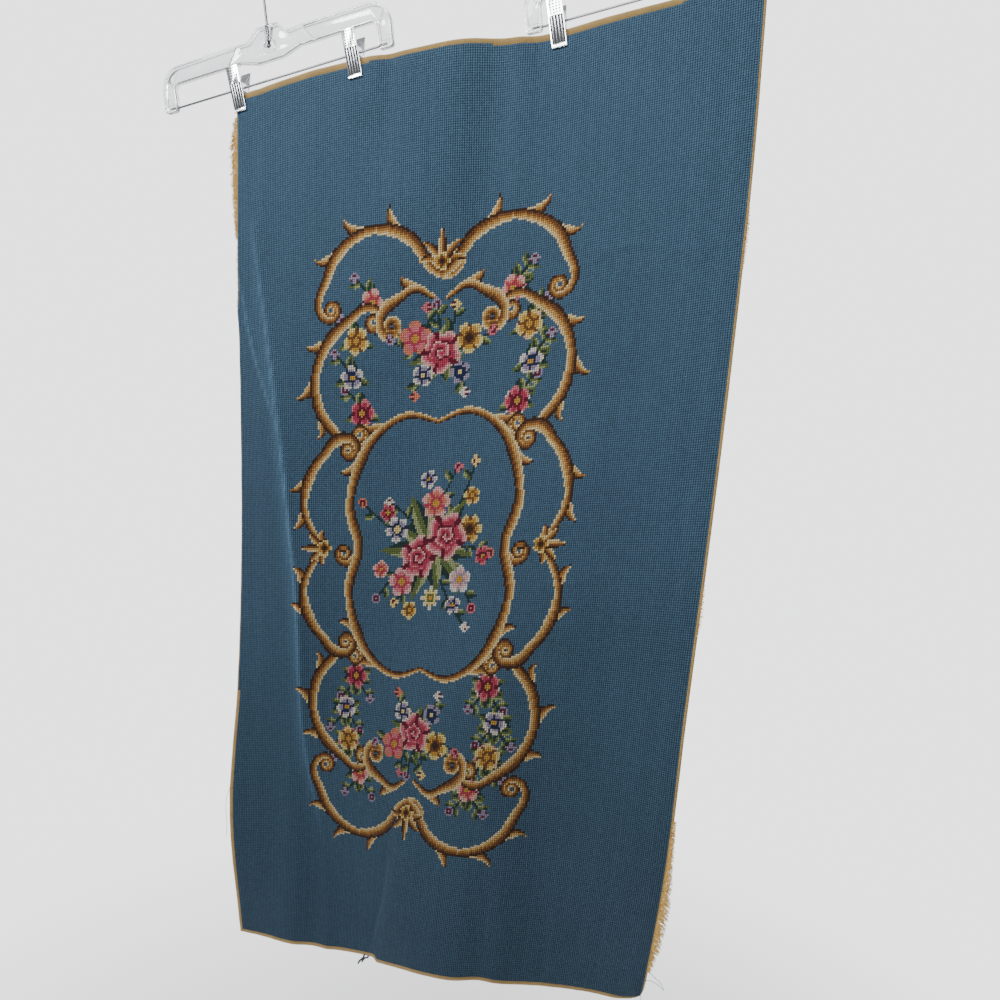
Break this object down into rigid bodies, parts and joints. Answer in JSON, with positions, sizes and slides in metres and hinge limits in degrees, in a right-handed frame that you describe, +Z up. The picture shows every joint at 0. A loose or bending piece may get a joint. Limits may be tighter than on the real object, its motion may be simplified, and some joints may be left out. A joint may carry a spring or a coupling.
{
  "type": "needlepoint canvas panel on two clip hangers",
  "caption": "Hung wool needlepoint panel with frayed canvas edges, clipped along its top to two clear clip hangers with wire hooks.",
  "frame": {"origin": "the seat inside the left hanger's wire hook, where the rail or nail that holds it lies", "axes": "+Z up, +X to the right across the stitched face, +Y back from that face"},
  "size_m": [0.7818, 0.0821, 1.3458],
  "materials": {
    "wool_stitching": "wool tent stitches",
    "raw_canvas": "raw cotton canvas threads",
    "clear_plastic": "clear moulded",
    "steel_rod": "bright drawn",
    "chrome": "polished"
  },
  "bodies": {
    "root": {"canvas_panel": "wool_stitching", "fringe_left": "raw_canvas", "fringe_right": "raw_canvas", "hanger_left_body": "clear_plastic", "hanger_left_rod": "steel_rod", "hanger_left_hook": "chrome", "hanger_right_body": "clear_plastic", "hanger_right_rod": "steel_rod", "hanger_right_hook": "chrome", "clip_left_1_front_jaw": "chrome", "clip_left_1_back_jaw": "chrome", "clip_left_1_spring": "steel_rod", "clip_left_2_front_jaw": "chrome", "clip_left_2_back_jaw": "chrome", "clip_left_2_spring": "steel_rod", "clip_right_1_front_jaw": "chrome", "clip_right_1_back_jaw": "chrome", "clip_right_1_spring": "steel_rod", "clip_right_2_front_jaw": "chrome", "clip_right_2_back_jaw": "chrome", "clip_right_2_spring": "steel_rod"}
  },
  "joints": []
}
